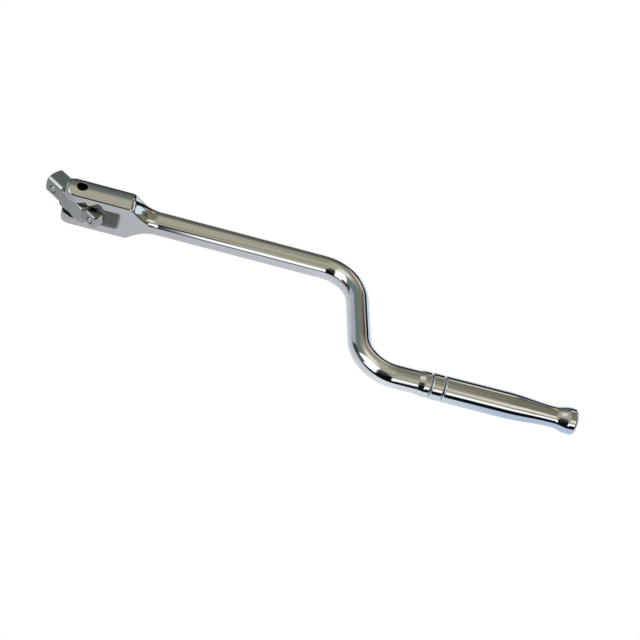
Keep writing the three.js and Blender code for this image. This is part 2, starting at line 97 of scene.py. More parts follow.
def node_start(name):
    """Where a node starts along X, counted from the pivot."""
    return BOXES[name][0][0] - PIVOT[0]


def node_end(name):
    """Where a node ends along X, counted from the pivot."""
    return BOXES[name][1][0] - PIVOT[0]


def node_height(name):
    return BOXES[name][1][2] - BOXES[name][0][2]


def length(description, default):
    """A size in metres that a user can change."""
    return FloatProperty(description=description, default=default, min=0.0, unit="LENGTH", precision=5)


def turn(description, degrees):
    """An angle that a user can change."""
    return FloatProperty(description=description, default=math.radians(degrees), subtype="ANGLE")


def linear(colour):
    """Linear red, green and blue of an sRGB hex colour: the sRGB curve undone channel by channel."""
    shares = [int(colour[i:i + 2], 16) / 255 for i in (1, 3, 5)]
    return [s / 12.92 if s <= 0.04045 else ((s + 0.055) / 1.055) ** 2.4 for s in shares]


def tint(description, colour):
    """A colour that a user can change."""
    return FloatVectorProperty(
        description=description, default=linear(colour), subtype="COLOR", min=0.0, max=1.0
    )


class BraceSizes(bpy.types.PropertyGroup):
    """Sizes of the finished surfaces."""

    shaft_diameter: length("Round bar between the head and the grip", 15.0 * MM)
    head_diameter: length("Turned barrel of the yoke head", node_height("brace_bar"))
    head_thickness: length("Across the two flats of the head", 15.5 * MM)
    fork_reach: length("From the pin to the end of the fork", -node_start("brace_bar"))
    fork_edge: length("Rounding of the barrel at the end of the fork", 3.0 * MM)
    slot_height: length("Gap between the two tines", 13.3 * MM)
    slot_reach: length("From the pin to the closed end of the slot", 27.1 * MM)
    slot_corner: length("Rounding in the corners of the slot", 2.0 * MM)
    head_reach: length("From the pin to the start of the neck", 33.3 * MM)
    neck_length: length("Hollow stretch from the head to the shaft", 18.4 * MM)
    neck_edge: length("Rounding between the barrel and the neck", 1.0 * MM)
    flat_edge: length("Rounding between the barrel and the flats", 0.7 * MM)
    slot_edge: length("Rounding of the slot's edges", 0.45 * MM)
    pin_diameter: length("Pivot pin", 6.9 * MM)
    pin_hole_edge: length("Rounding of the pin's hole", 0.35 * MM)
    bend_start: length("From the pin to the first bend", 160.5 * MM)
    bend_radius: length("Bends of the crank, on the middle of the bar", 25.0 * MM)
    arm_angle: turn("Slope of the crank's arm", 83.0)
    ring_seat: length("Diameter of the seat under the two rings", 11.0 * MM)
    front_journal: length("Diameter of the front journal in the grip", 9.5 * MM)
    rear_journal: length("Diameter of the rear journal in the grip", 7.0 * MM)
    rear_journal_start: length("From the pin to the rear journal", 291.97 * MM)
    ring_edge: length("Rounding of the rings and of the grip's front edge", 1.1 * MM)
    collar_cone: length("Length of the slope from the bar up to the collar", 3.5 * MM)
    collar_crest: length("Rounding between the collar and its slope", 6.0 * MM)
    grip_taper_start: length("From the pin to where the grip draws in", 285.97 * MM)
    grip_neck: length("From the pin to the thinnest place of the grip", 317.47 * MM)
    grip_neck_diameter: length("Thinnest place of the grip", 13.3 * MM)
    grip_flare: length("From the pin to the widest place of the flare", 327.07 * MM)
    grip_flare_diameter: length("Flare at the end of the grip", 16.8 * MM)
    grip_edge: length("Rounding of the flared end", 1.8 * MM)
    grip_bore: length("Diameter of the bore for the front bush", 11.9 * MM)
    rear_bore: length("Diameter of the bore for the rear bush", 9.4 * MM)
    plug_crown: length("Height of the plug's dome", 0.5 * MM)
    tang_width: length("Middle of the drive, across the flats", 14.8 * MM)
    tang_half_inch_reach: length("From the pin to the sloped shoulder", 9.7 * MM)
    tang_shoulder: length("Length of the sloped shoulder", 1.6 * MM)
    tang_reach: length("From the pin to the 3/8 inch square", 10.1 * MM)
    half_inch: length("Across the flats of the larger square", 12.7 * MM)
    three_eighth: length("Across the flats of the smaller square", 9.525 * MM)
    tang_edge: length("Rounding along the edges of the drive's middle", 1.0 * MM)
    drive_edge: length("Rounding of the drive's other edges", 0.3 * MM)


class BraceColours(bpy.types.PropertyGroup):
    """Colours of the finishes and of the studio."""

    chrome: tint("Chromium over polished steel", "#e4e6e8")
    milled: tint("Chromium over the milled drive", "#c9cccd")
    # The recess colour is painted shade: it darkens the slot, the gaps and the holes where shade falls.
    recess: tint("Dull plating in the slot and in the holes", "#494f4b")
    bearing: tint("Polished detent balls", "#dcdee0")
    black: tint("Blackened pivot pin", "#1d1c1c")
    spring: tint("Springs, spring washers and the retaining ring", "#8d9094")
    bronze: tint("Sintered bushes and thrust washers", "#a97b45")
    floor: tint("Pale table under the shaft", "#d3d7dd")
    floor_shade: tint("Pale table in the drive's shade", "#a0a4a5")
    floor_dim: tint("Pale table in the head's shade", "#bfc0c4")
    floor_bright: tint("Pale table in the window's light", "#f3f6fa")
    floor_blue: tint("Pale table in the sky's light", "#c3d6ea")
    ceiling: tint("Tan ceiling", "#a59f8e")
    cream: tint("Ceiling and wall near a window", "#dcd6c6")
    window: tint("Bright window", "#ffffff")
    sky: tint("Pale blue window at the right", "#cfe0e6")
    teal: tint("Wall at the far left", "#64746f")
    slate: tint("Wall behind the brace", "#54574f")
    spruce: tint("Green wall behind the head", "#5f6b68")
    russet: tint("Brown wall at the far right", "#58403c")
    haze: tint("Lower walls", "#a3a4ac")
    umber: tint("Upper walls", "#726f5e")
    shade: tint("Dark forms in the room", "#37373a")
    night: tint("Darkest corners of the room", "#0c0f16")


def add_node(tree, kind, sockets=None, **settings):
    """Adds a node with its settings. A socket takes a number or colour, or a link from another socket."""
    node = tree.nodes.new(kind)
    for name, value in settings.items():
        setattr(node, name, value)
    for socket, value in (sockets or {}).items():
        if isinstance(value, bpy.types.NodeSocket):
            tree.links.new(value, node.inputs[socket])
        else:
            node.inputs[socket].default_value = value
    return node


def math_node(tree, operation, *values):
    """Result of one sum on numbers or sockets."""
    return add_node(tree, "ShaderNodeMath", dict(enumerate(values)), operation=operation).outputs["Value"]


def step_between(tree, angle, low, high):
    """Smooth step from nought to one while an angle goes from low to high, in degrees."""
    ends = {"Value": angle, "From Min": math.radians(low), "From Max": math.radians(high)}
    return add_node(tree, "ShaderNodeMapRange", ends, interpolation_type="SMOOTHSTEP").outputs["Result"]


# Sockets of a mix node that blends colours.
MIX_SHARE, MIX_FROM, MIX_TO, MIX_RESULT = 0, 6, 7, 2


def blend(tree, share, colour, other):
    """Colour that goes to the other one as the share goes to one."""
    sockets = {MIX_SHARE: share, MIX_FROM: colour, MIX_TO: other}
    return add_node(tree, "ShaderNodeMix", sockets, data_type="RGBA").outputs[MIX_RESULT]


def mix_shaders(tree, share, shader, other):
    """Shader that goes to the other one as the share goes to one."""
    return add_node(tree, "ShaderNodeMixShader", {0: share, 1: shader, 2: other}).outputs["Shader"]


def new_material(name):
    """An empty node material with its output, and the tree and output to build on."""
    material = bpy.data.materials.new(name)
    material.use_nodes = True
    material.node_tree.nodes.clear()
    output = add_node(material.node_tree, "ShaderNodeOutputMaterial")
    return material, material.node_tree, output


def noise(tree, size, detail, roughness):
    """Share of a cloudy pattern fixed to the object, whose features are about one size apart, in metres."""
    place = add_node(tree, "ShaderNodeTexCoord").outputs["Object"]
    sockets = {"Vector": place, "Scale": 1.0 / size, "Detail": detail, "Roughness": roughness}
    return add_node(tree, "ShaderNodeTexNoise", sockets).outputs["Fac"]


def ranged(tree, share, low, high):
    """Value that goes from low to high as the share goes from nought to one."""
    ends = {"Value": share, "To Min": low, "To Max": high}
    return add_node(tree, "ShaderNodeMapRange", ends).outputs["Result"]


def opaque(colour):
    return (*colour, 1.0)


# The finishes: the colour, the roughness and its spread, then the size of the grain and the length and
# height of the slow wave that the polish leaves.
FINISHES = {
    # Chromium on buffed steel: a near mirror, with the wobble of the buffing wheel.
    "chrome_on_buffed_steel": ("chrome", 0.05, 0.02, 1.2 * MM, 7.0 * MM, 0.002 * MM),
    # The same plate, a little hazier where the cutter's marks show through.
    "chrome_on_milled_steel": ("milled", 0.1, 0.03, 0.6 * MM, 4.0 * MM, 0.002 * MM),
    # A clean mirror.
    "lapped_bearing_steel": ("bearing", 0.06, 0.02, 0.5 * MM, 2.0 * MM, 0.0005 * MM),
    # A dark satin skin with a mottled sheen.
    "black_oxide_on_steel": ("black", 0.45, 0.1, 0.5 * MM, 1.5 * MM, 0.01 * MM),
    # Drawn and tempered: grey, with a soft sheen.
    "tempered_spring_steel": ("spring", 0.3, 0.1, 0.3 * MM, 1.0 * MM, 0.004 * MM),
    # Warm, and grainy from its pores.
    "sintered_bronze": ("bronze", 0.42, 0.12, 0.25 * MM, 0.4 * MM, 0.02 * MM),
}

# The finishes whose recesses are dull and painted with shade, how dull, and the shade of the darkest grain.
RECESSED = ("chrome_on_buffed_steel", "chrome_on_milled_steel")
RECESS_ROUGHNESS = 0.25
GRAIN_SHADE = 0.96


def metal(name, colours):
    """A finish of metal whose gloss varies with its fine grain and whose reflections waver with the polish.

    Roughness goes from its typical value less the spread to the same plus the spread over grain-sized
    patches, and a slow wave of the given length and height bends the normals. Where the mesh has recesses
    they take a dark colour, painted shade for the shade that falls in the slot, the gaps and the holes,
    and the dullness of metal that no buffing wheel reaches.
    """
    colour, roughness, spread, grain, wave, wave_height = FINISHES[name]
    base = getattr(colours, colour)
    material, tree, output = new_material(name)
    fine = noise(tree, grain, detail=4.0, roughness=0.6)
    dullness = ranged(tree, fine, roughness - spread, roughness + spread)
    dark = opaque([GRAIN_SHADE * c for c in base])
    shade = blend(tree, fine, dark, opaque(base))
    if name in RECESSED:
        # Painted shade: the recess share turns the colour towards the dark recess colour and dulls the plating.
        inside = add_node(tree, "ShaderNodeAttribute", attribute_name="recess").outputs["Fac"]
        shade = blend(tree, inside, shade, opaque(colours.recess))
        dullness = ranged(tree, inside, dullness, RECESS_ROUGHNESS)
    slow = noise(tree, wave, detail=1.0, roughness=0.5)
    bump = add_node(tree, "ShaderNodeBump", {"Height": slow, "Distance": wave_height, "Strength": 1.0})
    sockets = {"Base Color": shade, "Roughness": dullness, "Normal": bump.outputs["Normal"], "Metallic": 1.0}
    shader = add_node(tree, "ShaderNodeBsdfPrincipled", sockets)
    tree.links.new(shader.outputs["BSDF"], output.inputs["Surface"])
    return material


def new_piece(name, points, faces, normals, material, body, slot, *nodes, recess=None):
    """A mesh at the origin from whole arrays, shaded by the normals given for its points.

    The faces are arrays of quads and of triangles. Points that no face uses are dropped. The piece rides a
    body, takes the material given and stands for the nodes named. The slot is not used. A recess share
    given for its points is kept on the mesh for the finish.
    """
    used, loops = np.unique(np.concatenate([array.ravel() for array in faces]), return_inverse=True)
    sizes = np.concatenate([np.full(len(array), array.shape[1]) for array in faces])
    starts = np.cumsum(sizes) - sizes
    mesh = bpy.data.meshes.new(name)
    mesh.vertices.add(len(used))
    mesh.vertices.foreach_set("co", points[used].astype(np.float32).ravel())
    mesh.loops.add(len(loops))
    mesh.loops.foreach_set("vertex_index", loops.ravel().astype(np.int32))
    mesh.polygons.add(len(sizes))
    mesh.polygons.foreach_set("loop_start", starts.astype(np.int32))
    mesh.update(calc_edges=True)
    mesh.validate()
    mesh.normals_split_custom_set_from_vertices(normals[used])
    # The recess share marks where painted shade darkens the finish.
    if recess is not None:
        shares = mesh.attributes.new("recess", "FLOAT", "POINT")
        shares.data.foreach_set("value", recess[used].astype(np.float32))
    mesh.materials.append(material)
    piece = bpy.data.objects.new(name, mesh)
    bpy.context.scene.collection.objects.link(piece)
    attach(piece, body)
    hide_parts(*nodes)
    return piece


def unit(vectors):
    return vectors / np.linalg.norm(vectors, axis=-1, keepdims=True)


def left_of(directions):
    """Profile directions turned a quarter to the left."""
    return np.stack([-directions[..., 1], directions[..., 0]], axis=-1)


def on_circle(angles):
    """Cosines and sines of angles: points on a circle of radius one."""
    return np.stack([np.cos(angles), np.sin(angles)], axis=-1)


def rounded_profile(corners, radii):
    """Points and outward normals of an open profile of (along, radius) whose corners are rounded.

    Each inner corner becomes an arc that is tangent to both of its sides. Where its radius is nought it
    stays one point, with the normal half-way between the sides. Outward is to the left of the run.
    """
    corners = np.asarray(corners, float)
    runs = unit(np.diff(corners, axis=0))
    points = [corners[:1]]
    normals = [left_of(runs[:1])]
    for corner, radius, before, after in zip(corners[1:-1], radii, runs[:-1], runs[1:]):
        bend = math.atan2(before[0] * after[1] - before[1] * after[0], before @ after)
        if radius == 0:
            points.append(corner[None])
            normals.append(left_of(unit(before + after))[None])
            continue
        angles = math.atan2(before[1], before[0]) + bend * np.linspace(0, 1, CORNER_STEPS + 1)
        runs_here = on_circle(angles)
        side = math.copysign(radius, bend)
        centre = corner - before * radius * math.tan(abs(bend) / 2) + side * left_of(before)
        points.append(centre - side * left_of(runs_here))
        normals.append(left_of(runs_here))
    points.append(corners[-1:])
    normals.append(left_of(runs[-1:]))
    return np.concatenate(points), np.concatenate(normals)


def grid_faces(index):
    """Quads and triangles of a grid of point numbers that closes on itself along its columns.

    A row whose numbers are all the same is a pole, and the quads beside it become triangles.
    """
    low, high = index[:-1], index[1:]
    low_next, high_next = np.roll(low, -1, axis=1), np.roll(high, -1, axis=1)
    quads = np.stack([low, low_next, high_next, high], axis=-1).reshape(-1, 4)
    low_pole = quads[:, 0] == quads[:, 1]
    high_pole = quads[:, 2] == quads[:, 3]
    triangles = np.concatenate([quads[low_pole][:, [0, 2, 3]], quads[high_pole][:, [0, 1, 2]]])
    return [quads[~low_pole & ~high_pole], triangles]


def turned(profile, normals, sides, centre, axis="X"):
    """Points, faces and normals of a profile of (along, radius) turned about an axis through a centre.

    A point is along the axis and a radius away from it, at an angle that goes once round in equal steps.
    """
    spread = on_circle(np.linspace(0, 2 * np.pi, sides, endpoint=False))

    def carried(pairs):
        along = np.broadcast_to(pairs[:, None, :1], (len(pairs), sides, 1))
        return np.concatenate([along, pairs[:, None, 1:] * spread], axis=-1)

    index = np.arange(len(profile) * sides).reshape(len(profile), sides)
    on_axis = profile[:, 1] < PROBE
    index[on_axis] = index[on_axis][:, :1]
    order = {"X": [0, 1, 2], "Y": [2, 0, 1], "Z": [1, 2, 0]}[axis]
    points = carried(profile).reshape(-1, 3)[:, order] + centre
    return points, grid_faces(index), carried(normals).reshape(-1, 3)[:, order]


def eased(start, start_radius, end, end_radius):
    """Points of a rise or fall between two radii that follows half a cosine wave, level at both ends."""
    share = np.linspace(0, 1, CURVE_STEPS + 1)
    wave = (1 - np.cos(np.pi * share)) / 2
    along = start + (end - start) * share
    radius = start_radius + (end_radius - start_radius) * wave
    return np.stack([along, radius], axis=-1)


def cut(a, b, edge):
    """What lies in both of two shapes, with a round edge: their distances add as sides of a right angle."""
    inside = np.minimum(np.maximum(a, b), -edge)
    return inside + np.hypot(np.maximum(a + edge, 0), np.maximum(b + edge, 0))


def join(a, b, fillet):
    """What lies in either of two shapes, with a round fillet: the cut of their outsides, inside out."""
    return -cut(-a, -b, fillet)


def gradient(distance, points):
    """Slope of a distance function, from its values a probe to either side along each axis."""
    probes = np.eye(3) * PROBE
    return np.stack([distance(points + p) - distance(points - p) for p in probes], axis=-1) / (2 * PROBE)


def skin(distance, low, high):
    """Points, quads and normals of the surface where a distance function of x, y and z is nought.

    Edges where milled faces meet turned ones have no grid of two parameters, so the grid here has three.
    Each cell that the surface passes through gets one point, moved from the middle of the cell along the
    slope until the distance is nought. Each grid edge that crosses the surface joins the points of the four
    cells round it in a quad. The last array numbers the cells' points, with -1 where there is none.
    """
    low, high = np.asarray(low, float), np.asarray(high, float)
    counts = np.ceil((high - low) / SKIN_STEP).astype(int)
    ticks = [np.linspace(a, b, n + 1) for a, b, n in zip(low, high, counts)]
    inside = distance(np.stack(np.meshgrid(*ticks, indexing="ij"), axis=-1)) < 0
    ends = (slice(None, -1), slice(1, None))
    corners = [inside[block] for block in itertools.product(ends, repeat=3)]
    active = np.logical_or.reduce(corners) & ~np.logical_and.reduce(corners)
    number = np.full(active.shape, -1)
    number[active] = np.arange(active.sum())
    points = low + (np.argwhere(active) + 0.5) * (high - low) / counts
    for _ in range(SETTLE_ROUNDS):
        slope = gradient(distance, points)
        points = points - distance(points)[:, None] * slope / (slope**2).sum(axis=1, keepdims=True)
    quads = []
    for order in ((0, 1, 2), (1, 2, 0), (2, 0, 1)):
        solid = inside.transpose(order)[:, 1:-1, 1:-1]
        cells = number.transpose(order)
        crossing = solid[:-1] != solid[1:]
        around = [cells[:, :-1, :-1], cells[:, 1:, :-1], cells[:, 1:, 1:], cells[:, :-1, 1:]]
        found = np.stack(around, axis=-1)[crossing]
        inward = ~solid[:-1][crossing]
        found[inward] = found[inward][:, ::-1]
        quads.append(found)
    return points, np.concatenate(quads), unit(gradient(distance, points)), number


def neck_arc(sizes):
    """Radius of the hollow neck, and its centre along the bar and away from it.

    The neck is an arc that is tangent to the shaft and meets the barrel.
    """
    rise = (sizes.head_diameter - sizes.shaft_diameter) / 2
    radius = sizes.neck_length / math.sin(2 * math.atan2(rise, sizes.neck_length))
    return radius, sizes.head_reach + sizes.neck_length, sizes.shaft_diameter / 2 + radius


# Two faces that meet head-on lose this share of the rounding between them.
TIP_LOSS = 1 - math.sqrt(0.5)

# Shares of the neck, counted back from the shaft, over which the flats' rounding grows to its full size.
FLAT_FADE = (0.2, 0.7)


def yoke_distance(sizes, points):
    """Distance to the yoke head: a turned barrel and neck, cut by the flats, the slot and the pin's hole.

    The flats lie half the thickness from a line along X, and so go half round past the end of that line.
    """
    x, y, z = np.moveaxis(points, -1, 0)
    out = np.hypot(y, z)
    neck_radius, neck_end, neck_centre = neck_arc(sizes)
    half = sizes.head_thickness / 2
    tip = sizes.fork_reach + TIP_LOSS * sizes.flat_edge
    barrel = cut(out - sizes.head_diameter / 2, -tip - x, sizes.fork_edge)
    neck = neck_radius - np.hypot(x - neck_end, out - neck_centre)
    turned_form = cut(barrel, neck, sizes.neck_edge)
    flats = np.hypot(np.minimum(x + tip - half, 0), y) - half
    rounding = sizes.flat_edge * np.interp((neck_end - x) / sizes.neck_length, FLAT_FADE, (0, 1))
    head = cut(turned_form, flats, rounding)
    slot, hole = yoke_openings(sizes, points)
    return cut(cut(head, -slot, sizes.slot_edge), -hole, sizes.pin_hole_edge)


def yoke_openings(sizes, points):
    """Distances to the slot and to the pin's round hole.

    The slot is a bar with two round corners that is open at the fork.
    """
    x, y, z = np.moveaxis(points, -1, 0)
    corner = sizes.slot_corner
    past_end = x - sizes.slot_reach + corner
    past_side = np.abs(z) - sizes.slot_height / 2 + corner
    slot = np.hypot(np.maximum(past_end, 0), np.maximum(past_side, 0)) - corner
    slot = slot + np.minimum(np.maximum(past_end, past_side), 0)
    return slot, np.hypot(x, y) - sizes.pin_diameter / 2


# How far the painted shade and the dullness of an opening reach out of it, and the share of it that is left
# away from the pin, where the slot lies less deep in shade.
RECESS_FADE = 0.15 * MM
FAINTER_SHADE = 0.4


def recess_share(*openings):
    """One on the walls of the openings, falling to nought a short way out of them."""
    return np.clip(1 - np.minimum.reduce(openings) / RECESS_FADE, 0, 1)


def arm_length(sizes):
    """Length of the crank's straight arm: what the bends leave of the offset, over the sine of its slope."""
    offset = PIVOT[1] - GRIP_AXIS[1]
    in_bends = 2 * sizes.bend_radius * (1 - math.cos(sizes.arm_angle))
    return (offset - in_bends) / math.sin(sizes.arm_angle)


def crank_line(sizes, run):
    """Centre and heading of the bar after a run from the pin: straight, bend, arm, bend back, straight.

    The run is shared out to the five stretches in turn, and each adds its own part: lines add their cosine
    and sine, and bends the sines and cosines of the angle that they have turned through.
    """
    radius, angle = sizes.bend_radius, sizes.arm_angle
    bend, arm = radius * angle, arm_length(sizes)
    lead = np.minimum(run, sizes.bend_start)
    first = np.clip(run - sizes.bend_start, 0, bend) / radius
    on_arm = np.clip(run - sizes.bend_start - bend, 0, arm)
    second = np.clip(run - sizes.bend_start - bend - arm, 0, bend) / radius
    tail = np.maximum(run - sizes.bend_start - 2 * bend - arm, 0)
    x = lead + radius * np.sin(first) + on_arm * math.cos(angle)
    x = x + radius * (math.sin(angle) - np.sin(angle - second)) + tail
    drop = radius * (1 - np.cos(first)) + on_arm * math.sin(angle)
    drop = drop + radius * (np.cos(angle - second) - math.cos(angle))
    return np.stack([x, -drop, np.zeros_like(x)], axis=-1), first - second


def crank_runs(sizes):
    """Runs from the pin to the ends of both bends, and how much longer the bar is than its reach along X."""
    bend, arm = sizes.bend_radius * sizes.arm_angle, arm_length(sizes)
    ends = sizes.bend_start + np.array([0, bend, bend + arm, 2 * bend + arm])
    reach = crank_line(sizes, ends[-1:])[0][0, 0]
    return ends, ends[-1] - reach


# Rounding of the spindle's steps, and how far along the neck the head's skin goes over into the swept bar.
SPINDLE_EDGE = 0.4 * MM
SKIN_SHARE = 0.92


def bar_profile(sizes, start):
    """(run, radius) corners of the bar from a run in the neck to the spindle's end, and their roundings."""
    radius, neck_end, neck_centre = neck_arc(sizes)
    ends, extra = crank_runs(sizes)
    shaft = sizes.shaft_diameter / 2
    seat, front, rear = sizes.ring_seat / 2, sizes.front_journal / 2, sizes.rear_journal / 2
    neck_runs = np.linspace(start, neck_end, CORNER_STEPS)
    neck = np.stack([neck_runs, neck_centre - np.sqrt(radius**2 - (neck_runs - neck_end) ** 2)], axis=-1)
    bends = [np.linspace(ends[i], ends[i + 1], CURVE_STEPS) for i in (0, 2)]
    stations = np.concatenate(bends)
    bent = np.stack([stations, np.full_like(stations, shaft)], axis=-1)
    collar = node_start("front_collar") + extra
    spacer_end = node_end("spacer_ring") + extra
    rear_start = sizes.rear_journal_start + extra
    end = node_end("brace_bar") + extra
    steps = [
        (collar, shaft), (collar, seat), (spacer_end, seat), (spacer_end, front),
        (rear_start, front), (rear_start, rear), (end, rear), (end, 0),
    ]
    corners = np.concatenate([neck, bent, steps])
    smooth = np.zeros(len(neck) + len(bent) - 1)
    return corners, np.concatenate([smooth, np.full(len(steps) - 1, SPINDLE_EDGE)])


def bar_surface(sizes):
    """Points, faces, normals and recess shares of the whole bar.

    The yoke head is a skin that is left open in the neck. The ring of points at its open end is carried
    along the crank's line as the section of the bar, with the radius that the bar's profile gives.
    """
    open_end = sizes.head_reach + SKIN_SHARE * sizes.neck_length
    wide = sizes.head_thickness / 2 + SKIN_MARGIN
    tall = sizes.head_diameter / 2 + SKIN_MARGIN
    low, high = (-sizes.fork_reach - SKIN_MARGIN, -wide, -tall), (open_end, wide, tall)
    points, quads, normals, number = skin(lambda p: yoke_distance(sizes, p), low, high)
    ring = number[-1][number[-1] >= 0]
    angles = np.arctan2(points[ring, 2], points[ring, 1])
    ring, angles = ring[np.argsort(angles)], np.sort(angles)
    start = open_end - SKIN_STEP / 2
    profile, slopes = rounded_profile(*bar_profile(sizes, start))
    centres, heading = crank_line(sizes, profile[:, 0])
    forward = np.stack([np.cos(heading), -np.sin(heading), np.zeros_like(heading)], axis=-1)
    sideways = np.stack([np.sin(heading), np.cos(heading), np.zeros_like(heading)], axis=-1)
    out = sideways[:, None] * np.cos(angles)[:, None] + np.array([0, 0, 1.0]) * np.sin(angles)[:, None]
    bar = centres[:, None] + profile[:, 1, None, None] * out
    bar_normals = slopes[:, 0, None, None] * forward[:, None] + slopes[:, 1, None, None] * out
    # Painted shade in the slot and the pin's hole: full at the pin, fading to a fainter share along the slot.
    fainter_from = sizes.slot_reach / 3
    slot_shade = np.interp(points[:, 0], [0, fainter_from], [1, FAINTER_SHADE])
    recess = slot_shade * recess_share(*yoke_openings(sizes, points))
    points[ring], normals[ring] = bar[0], bar_normals[0]
    count = bar.shape[0] * bar.shape[1]
    index = len(points) + np.arange(count).reshape(bar.shape[:2])
    index[0] = ring
    index[-1] = index[-1, 0]
    bar_quads, tip = grid_faces(index)
    all_points = np.concatenate([points, bar.reshape(-1, 3)]) + PIVOT
    all_normals = np.concatenate([normals, bar_normals.reshape(-1, 3)])
    recess = np.concatenate([recess, np.zeros(count)])
    return all_points, [np.concatenate([quads, bar_quads]), tip], all_normals, recess


# The turned ends of the two squares: what the corners lose, the flat of the end face and its dome's radius.
HALF_INCH = {"trim": 1.1 * MM, "face": 2.5 * MM, "dome": 20.0 * MM}
THREE_EIGHTH = {"trim": 0.58 * MM, "face": 2.0 * MM, "dome": 9.5 * MM}

# Length and drop of the cone at the tang's end.
TANG_TAPER = 3.5 * MM
TANG_DROP = 1.2 * MM

# The balls, the play in their holes and the width of the staked grooves round them.
BALLS = ("half_inch_ball", "three_eighth_ball")
BALL_CLEARANCE = 0.08 * MM
STAKE_WIDTH = 0.6 * MM


def drive_turn():
    """Turn of the drive about the pin, as the matrix from its own frame to the part's."""
    along = DRIVE_AXIS / np.linalg.norm(DRIVE_AXIS)
    return np.array([along, np.cross([0, 0, 1], along), [0, 0, 1]]).T


def in_place(points):
    """Points of the drive's own frame, turned and moved to the part's."""
    return points @ drive_turn().T + PIVOT


def ball_seat(name):
    """Place of a detent ball along the drive, how far its middle lies towards -Y, and its hole's radius."""
    middle = (BOXES[name].mean(axis=0) - PIVOT) @ drive_turn()
    return middle[0], -middle[1], node_height(name) / 2 + BALL_CLEARANCE


def turned_square(along, out, end, corner, drive, edge):
    """Distance to the turned outline of a square: a round bar with a domed end that has a flat."""
    middle = end - math.sqrt(drive["dome"] ** 2 - drive["face"] ** 2)
    dome = np.hypot(along - middle, out) - drive["dome"]
    bar = out - corner + drive["trim"]
    return cut(bar, np.maximum(dome, along - end), edge)


def drive_openings(sizes, points):
    """Distances to the two ball pockets with the staked grooves round them, and to the pin's hole.

    A pocket is a round hole with a lip that closes over the ball, and its groove a ring sunk in the face.
    """
    x, y, z = np.moveaxis(points, -1, 0)
    openings = []
    for name, face in zip(BALLS, (sizes.half_inch / 2, sizes.three_eighth / 2)):
        place, inset, radius = ball_seat(name)
        away = np.hypot(x - place, z)
        hole = away - radius
        lip = np.hypot(away, y + inset) - radius
        pocket = np.where(y < -inset, lip, np.maximum(hole, y - inset / 2))
        mouth = math.sqrt(radius**2 - (face - inset) ** 2) + STAKE_WIDTH / 2
        groove = np.hypot(away - mouth, y + face) - STAKE_WIDTH / 2
        openings.append(np.minimum(pocket, groove))
    return *openings, np.hypot(x, y) - sizes.pin_diameter / 2


def drive_distance(sizes, points):
    """Distance to the flip drive: two squares on a tang, turned at the corners and ends, with its holes.

    It lies along X, the larger square towards -X, with the detent holes in the faces towards -Y.
    """
    x, y, z = np.moveaxis(points, -1, 0)
    wide, tall, out = np.abs(y), np.abs(z), np.hypot(y, z)
    edge = sizes.drive_edge
    half, small, tang = sizes.half_inch / 2, sizes.three_eighth / 2, sizes.tang_width / 2
    root = sizes.tang_half_inch_reach + sizes.tang_shoulder
    slope = (tang - half) / sizes.tang_shoulder
    shoulder = (wide - half - slope * (x + root)) / math.hypot(1, slope)
    plan = join(wide - half, cut(wide - tang, shoulder, 2 * edge), 2 * edge)
    tang_end = x - sizes.tang_reach
    larger = cut(cut(plan, tall - half, sizes.tang_edge), tang_end, edge)
    corner = math.hypot(tang, half)
    end = np.linalg.norm(HALF_INCH_END - PIVOT)
    blank = turned_square(-x, out, end, half * math.sqrt(2), HALF_INCH, edge)
    cone_start = -sizes.tang_half_inch_reach
    stations = [-root, cone_start, sizes.tang_reach - TANG_TAPER, sizes.tang_reach]
    trimmed = half * math.sqrt(2) - HALF_INCH["trim"]
    middle = out - np.interp(x, stations, [trimmed, corner, corner, corner - TANG_DROP])
    larger = cut(larger, np.where(x < -root, blank, middle), edge)
    end = np.linalg.norm(THREE_EIGHTH_END - PIVOT)
    square = cut(cut(wide - small, tall - small, edge), -x, edge)
    blank = turned_square(x, out, end, small * math.sqrt(2), THREE_EIGHTH, edge)
    body = join(larger, cut(square, blank, edge), 2 * edge)
    for opening in drive_openings(sizes, points):
        body = cut(body, -opening, edge / 2)
    return body


def drive_surface(sizes):
    """Points, quads, normals and recess shares of the flip drive, turned to its place.

    The broad faces are dull and painted with shade where they lie in the slot and on the smaller square, and so
    are the ball pockets, the staked grooves and the pin's hole.
    """
    start = -np.linalg.norm(HALF_INCH_END - PIVOT) - SKIN_MARGIN
    end = np.linalg.norm(THREE_EIGHTH_END - PIVOT) + SKIN_MARGIN
    half, small = sizes.half_inch / 2, sizes.three_eighth / 2
    wide, tall = sizes.tang_width / 2 + SKIN_MARGIN, half + SKIN_MARGIN
    low, high = (start, -wide, -tall), (end, wide, tall)
    points, quads, normals, _ = skin(lambda p: drive_distance(sizes, p), low, high)
    face = np.where(points[:, 0] < sizes.tang_reach, half, small)
    # Painted shade: a fainter share on the broad faces in the slot.
    in_slot = np.where(points[:, 0] > -sizes.tang_half_inch_reach, FAINTER_SHADE, 0)
    broad = in_slot * recess_share(face - np.abs(points[:, 2]))
    recess = np.maximum(broad, recess_share(*drive_openings(sizes, points)))
    return in_place(points), [quads], normals @ drive_turn().T, recess


# Wire thickness and number of curls of the spring behind each ball.
SPRINGS = {"half_inch": (0.5 * MM, 5), "three_eighth": (0.45 * MM, 4)}

# How finely a curl and the wire's section are divided.
CURL_STEPS = 32
WIRE_SIDES = 16


def drive_box(node):
    """A node's lowest and highest corners in the drive's own frame."""
    vertices = frame["nodes"][node].data.vertices
    points = np.empty(3 * len(vertices), np.float32)
    vertices.foreach_get("co", points)
    placed = (points.reshape(-1, 3) - PIVOT) @ drive_turn()
    return placed.min(axis=0), placed.max(axis=0)


